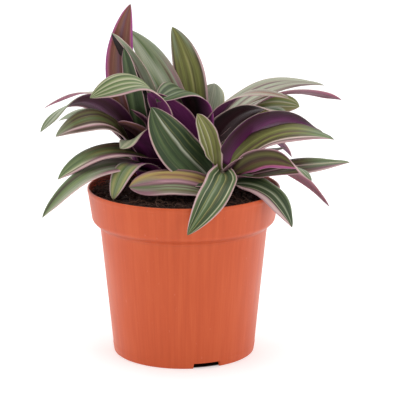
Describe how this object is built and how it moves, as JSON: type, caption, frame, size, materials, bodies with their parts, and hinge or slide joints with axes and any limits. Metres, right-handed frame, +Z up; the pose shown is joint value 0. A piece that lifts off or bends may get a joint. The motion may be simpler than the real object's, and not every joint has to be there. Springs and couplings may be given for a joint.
{
  "type": "potted plant",
  "caption": "Round tapered plastic nursery pot of soil, planted with a dense clump of arching, lance-shaped tradescantia leaves.",
  "frame": {"origin": "centre of the pot's underside, where it stands", "axes": "+Z up along the pot's axis, -Y towards the front of the plant, +X to the right of it"},
  "size_m": [0.192, 0.1606, 0.2173],
  "materials": {
    "pot_plastic": "satin",
    "potting_mix": "matte",
    "stem_skin": "satin",
    "leaf_skin": "satin"
  },
  "bodies": {
    "root": {"leaf_back_1": "leaf_skin", "leaf_back_10": "leaf_skin", "leaf_back_11": "leaf_skin", "leaf_back_2": "leaf_skin", "leaf_back_3": "leaf_skin", "leaf_back_4": "leaf_skin", "leaf_back_5": "leaf_skin", "leaf_back_6": "leaf_skin", "leaf_back_7": "leaf_skin", "leaf_back_8": "leaf_skin", "leaf_back_9": "leaf_skin", "leaf_back_left_green": "leaf_skin", "leaf_back_round": "leaf_skin", "leaf_centre_arch": "leaf_skin", "leaf_centre_purple": "leaf_skin", "leaf_centre_small": "leaf_skin", "leaf_edge_on": "leaf_skin", "leaf_front_big": "leaf_skin", "leaf_front_hanging": "leaf_skin", "leaf_front_left_hang": "leaf_skin", "leaf_left_arch": "leaf_skin", "leaf_left_bottom": "leaf_skin", "leaf_left_inner": "leaf_skin", "leaf_left_lower": "leaf_skin", "leaf_left_mid": "leaf_skin", "leaf_left_pale": "leaf_skin", "leaf_left_purple": "leaf_skin", "leaf_left_stub": "leaf_skin", "leaf_left_thin": "leaf_skin", "leaf_left_upper": "leaf_skin", "leaf_low_yellow": "leaf_skin", "leaf_narrow": "leaf_skin", "leaf_right_dark": "leaf_skin", "leaf_right_drooping": "leaf_skin", "leaf_right_edge": "leaf_skin", "leaf_right_folded": "leaf_skin", "leaf_right_long_pale": "leaf_skin", "leaf_right_low_long": "leaf_skin", "leaf_right_olive": "leaf_skin", "leaf_right_peek": "leaf_skin", "leaf_right_purple": "leaf_skin", "leaf_right_shadow": "leaf_skin", "leaf_right_thin": "leaf_skin", "leaf_right_twist": "leaf_skin", "leaf_right_yellow": "leaf_skin", "leaf_sliver": "leaf_skin", "leaf_tall": "leaf_skin", "leaf_top_centre": "leaf_skin", "pot": "pot_plastic", "soil": "potting_mix", "stem_back_left": "stem_skin", "stem_back_right": "stem_skin", "stem_front": "stem_skin", "stem_left": "stem_skin"}
  },
  "joints": []
}
